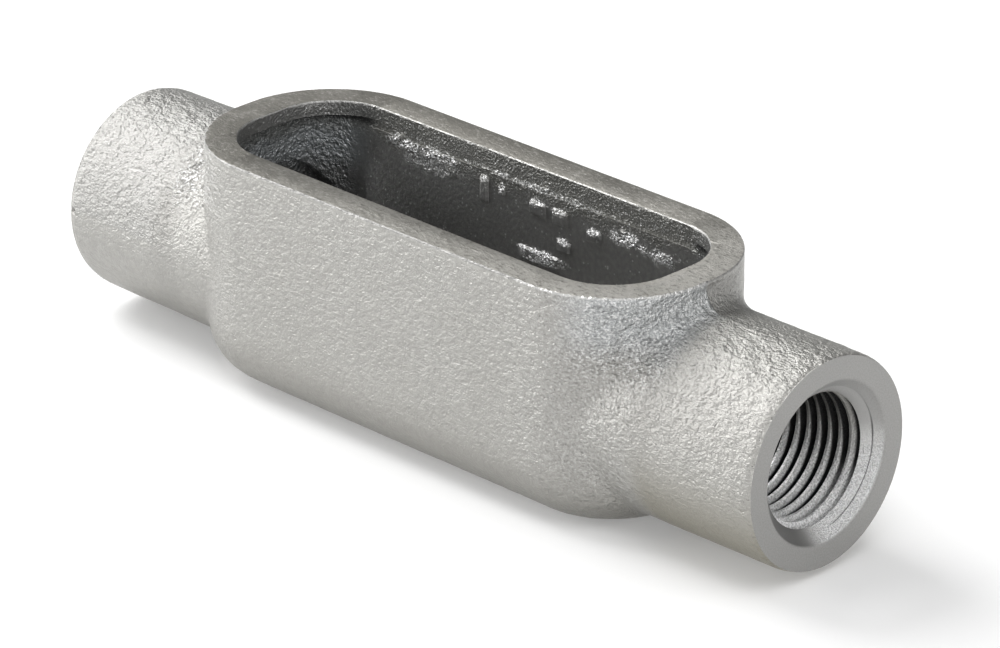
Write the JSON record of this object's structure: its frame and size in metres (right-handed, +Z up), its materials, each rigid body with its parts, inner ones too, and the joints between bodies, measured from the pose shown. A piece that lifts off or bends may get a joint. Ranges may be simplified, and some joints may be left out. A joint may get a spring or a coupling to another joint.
{
  "type": "conduit body",
  "caption": "Straight-through cast iron conduit body with a threaded hub at each end and an open, machined seat for a cover.",
  "frame": {"origin": "underside of the chamber, below the middle of the body", "axes": "+X along the conduit, +Z up through the cover opening, +Y across the chamber"},
  "size_m": [0.132, 0.0342, 0.0353],
  "materials": {
    "casting": "silver-grey coated casting with machined seat, hub faces and threads"
  },
  "bodies": {
    "root": {"conduit_body": "casting"}
  },
  "joints": []
}
